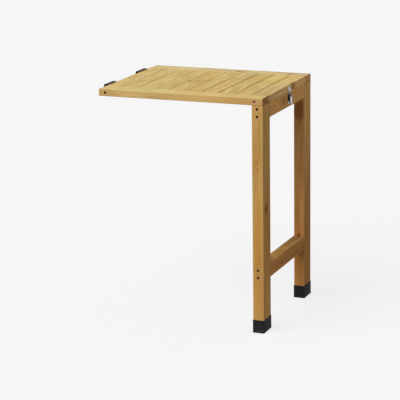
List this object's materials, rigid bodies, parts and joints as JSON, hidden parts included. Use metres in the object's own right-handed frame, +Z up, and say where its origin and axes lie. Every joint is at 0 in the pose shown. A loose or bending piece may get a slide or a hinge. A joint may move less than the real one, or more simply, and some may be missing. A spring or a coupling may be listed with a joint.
{
  "type": "hang-on folding side table",
  "caption": "Slatted wooden side table that hooks over a rim at one end and stands on a folding leg frame at the other, held square by a toggle latch.",
  "frame": {"origin": "on the floor, in the middle of the object's whole outline from hooks to latch", "axes": "+X from the hook end towards the leg end, +Y from the front board to the back board, +Z up"},
  "size_m": [0.6158, 0.492, 0.801],
  "materials": {
    "wood": "oiled fir",
    "black_steel": "black powder coat, satin",
    "black_screws": "black coated",
    "dark_screws": "dulled steel",
    "zinc_steel": "zinc plated, satin",
    "black_plastic": "moulded, matt"
  },
  "bodies": {
    "top": {"front_board": "wood", "back_board": "wood", "slat_1": "wood", "slat_2": "wood", "slat_3": "wood", "slat_4": "wood", "slat_5": "wood", "slat_6": "wood", "slat_7": "wood", "slat_8": "wood", "slat_9": "wood", "slat_10": "wood", "top_screws": "dark_screws", "front_hook": "black_steel", "back_hook": "black_steel", "hook_screws": "black_screws", "latch_keeper": "zinc_steel", "keeper_screws": "zinc_steel", "front_hinge_top_leaf": "zinc_steel", "back_hinge_top_leaf": "zinc_steel", "front_hinge_pin": "zinc_steel", "back_hinge_pin": "zinc_steel", "hinge_top_screws": "zinc_steel"},
    "leg_frame": {"front_leg": "wood", "back_leg": "wood", "top_rail": "wood", "lower_rail": "wood", "frame_screws": "dark_screws", "front_foot_cap": "black_plastic", "back_foot_cap": "black_plastic", "front_hinge_rail_leaf": "zinc_steel", "back_hinge_rail_leaf": "zinc_steel", "hinge_rail_screws": "zinc_steel", "latch_base": "zinc_steel", "latch_rivets": "zinc_steel", "latch_screws": "zinc_steel"},
    "latch_lever": {"latch_lever": "zinc_steel"},
    "latch_bail": {"latch_bail": "zinc_steel"}
  },
  "joints": [
    {"name": "leg_fold", "type": "hinge", "parent": "top", "child": "leg_frame", "pos_m": [0.25423, 0, 0.7721], "axis": [0, 1, 0], "range_deg": [0, 90]},
    {"name": "latch_lever_turn", "type": "hinge", "parent": "leg_frame", "child": "latch_lever", "pos_m": [0.30073, 0.014, 0.764], "axis": [0, -1, 0], "range_deg": [0, 140]},
    {"name": "latch_bail_turn", "type": "hinge", "parent": "latch_lever", "child": "latch_bail", "pos_m": [0.30043, 0.014, 0.756], "axis": [0, -1, 0], "range_deg": [-154, 0]}
  ],
  "couplings": [
    {"joint": "latch_bail_turn", "follows": "latch_lever_turn", "ratio": -1.1}
  ]
}
